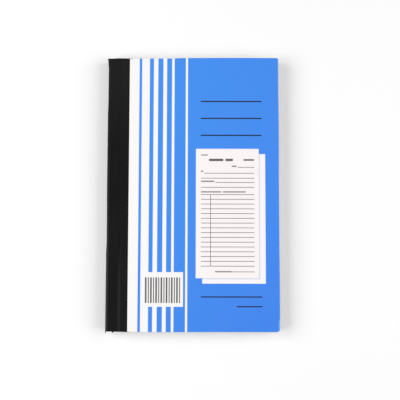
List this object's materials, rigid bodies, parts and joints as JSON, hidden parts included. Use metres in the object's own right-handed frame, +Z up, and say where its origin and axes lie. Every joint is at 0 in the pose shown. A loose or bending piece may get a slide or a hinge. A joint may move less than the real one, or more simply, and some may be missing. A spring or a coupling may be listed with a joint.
{
  "type": "duplicate book",
  "caption": "Closed duplicate book with hinged board covers, a black cloth spine, stitched sets of tear-off leaves and copies, and loose carbon sheets.",
  "frame": {"origin": "under the middle of the closed book, on the surface that its back cover lies on", "axes": "+X from the spine to the fore-edge, +Y from the tail to the head, +Z up through the front cover"},
  "size_m": [0.127, 0.203, 0.0118],
  "materials": {
    "cover_paper": "printed paper with a thin glossy film, blue and white stripes",
    "grey_board": "raw grey board edge",
    "binding_cloth": "black grained binding cloth, low sheen",
    "lining_paper": "brown kraft paper",
    "original_paper": "uncoated white writing paper, ruled form",
    "duplicate_paper": "thin uncoated paper, faint cool white",
    "endpaper": "plain uncoated endpaper",
    "carbon_paper": "waxy dark blue carbon coating",
    "stitching_wire": "tinned steel stitching wire"
  },
  "bodies": {
    "text_block": {"spine_cloth": "binding_cloth", "spine_lining": "lining_paper", "wire_stitches": "stitching_wire", "bound_originals": "original_paper", "bound_duplicates": "duplicate_paper", "front_flyleaf_strip": "endpaper", "back_flyleaf": "endpaper"},
    "front_cover": {"front_board": "grey_board", "front_cover_paper": "cover_paper", "front_pastedown": "endpaper", "front_cloth_lap": "binding_cloth"},
    "back_cover": {"back_board": "grey_board", "back_cover_paper": "cover_paper", "back_pastedown": "endpaper", "back_cloth_lap": "binding_cloth"},
    "flyleaf": {"front_flyleaf": "endpaper"},
    "stub_1": {"original_1_stub": "original_paper"},
    "leaf_1": {"original_1_leaf": "original_paper"},
    "copy_1": {"duplicate_1": "duplicate_paper"},
    "stub_2": {"original_2_stub": "original_paper"},
    "leaf_2": {"original_2_leaf": "original_paper"},
    "copy_2": {"duplicate_2": "duplicate_paper"},
    "stub_3": {"original_3_stub": "original_paper"},
    "leaf_3": {"original_3_leaf": "original_paper"},
    "copy_3": {"duplicate_3": "duplicate_paper"},
    "carbon": {"carbon_sheet": "carbon_paper"},
    "spare_carbon": {"spare_carbon_sheet": "carbon_paper"}
  },
  "joints": [
    {"name": "front_cover_hinge", "type": "hinge", "parent": "text_block", "child": "front_cover", "pos_m": [-0.0619, 0, 0.0103], "axis": [0, -1, 0], "range_deg": [0, 180]},
    {"name": "back_cover_hinge", "type": "hinge", "parent": "text_block", "child": "back_cover", "pos_m": [-0.0619, 0, 0.00146], "axis": [0, 1, 0], "range_deg": [0, 180]},
    {"name": "front_flyleaf_turn", "type": "hinge", "parent": "text_block", "child": "flyleaf", "pos_m": [-0.0555, 0, 0.00973], "axis": [0, -1, 0], "range_deg": [0, 162]},
    {"name": "original_1_turn", "type": "hinge", "parent": "text_block", "child": "stub_1", "pos_m": [-0.0555, 0, 0.00973], "axis": [0, -1, 0], "range_deg": [0, 39.6]},
    {"name": "original_1_tear_off", "type": "slide", "parent": "stub_1", "child": "leaf_1", "axis": [1, 0, 0], "range_m": [0, 0.125]},
    {"name": "duplicate_1_turn", "type": "hinge", "parent": "text_block", "child": "copy_1", "pos_m": [-0.0555, 0, 0.00973], "axis": [0, -1, 0], "range_deg": [0, 25.2]},
    {"name": "original_2_turn", "type": "hinge", "parent": "text_block", "child": "stub_2", "pos_m": [-0.0555, 0, 0.00973], "axis": [0, -1, 0], "range_deg": [0, 16.2]},
    {"name": "original_2_tear_off", "type": "slide", "parent": "stub_2", "child": "leaf_2", "axis": [1, 0, 0], "range_m": [0, 0.125]},
    {"name": "duplicate_2_turn", "type": "hinge", "parent": "text_block", "child": "copy_2", "pos_m": [-0.0555, 0, 0.00973], "axis": [0, -1, 0], "range_deg": [0, 9.9]},
    {"name": "original_3_turn", "type": "hinge", "parent": "text_block", "child": "stub_3", "pos_m": [-0.0555, 0, 0.00973], "axis": [0, -1, 0], "range_deg": [0, 5.4]},
    {"name": "original_3_tear_off", "type": "slide", "parent": "stub_3", "child": "leaf_3", "axis": [1, 0, 0], "range_m": [0, 0.125]},
    {"name": "duplicate_3_turn", "type": "hinge", "parent": "text_block", "child": "copy_3", "pos_m": [-0.0555, 0, 0.00973], "axis": [0, -1, 0], "range_deg": [0, 2.16]},
    {"name": "carbon_slide", "type": "slide", "parent": "copy_1", "child": "carbon", "axis": [1, 0, 0], "range_m": [0, 0.125]},
    {"name": "spare_carbon_slide", "type": "slide", "parent": "text_block", "child": "spare_carbon", "axis": [1, 0, 0], "range_m": [0, 0.125]}
  ],
  "couplings": [
    {"joint": "front_flyleaf_turn", "follows": "front_cover_hinge", "ratio": 0.9},
    {"joint": "original_1_turn", "follows": "front_cover_hinge", "ratio": 0.22},
    {"joint": "duplicate_1_turn", "follows": "front_cover_hinge", "ratio": 0.14},
    {"joint": "original_2_turn", "follows": "front_cover_hinge", "ratio": 0.09},
    {"joint": "duplicate_2_turn", "follows": "front_cover_hinge", "ratio": 0.055},
    {"joint": "original_3_turn", "follows": "front_cover_hinge", "ratio": 0.03},
    {"joint": "duplicate_3_turn", "follows": "front_cover_hinge", "ratio": 0.012}
  ]
}
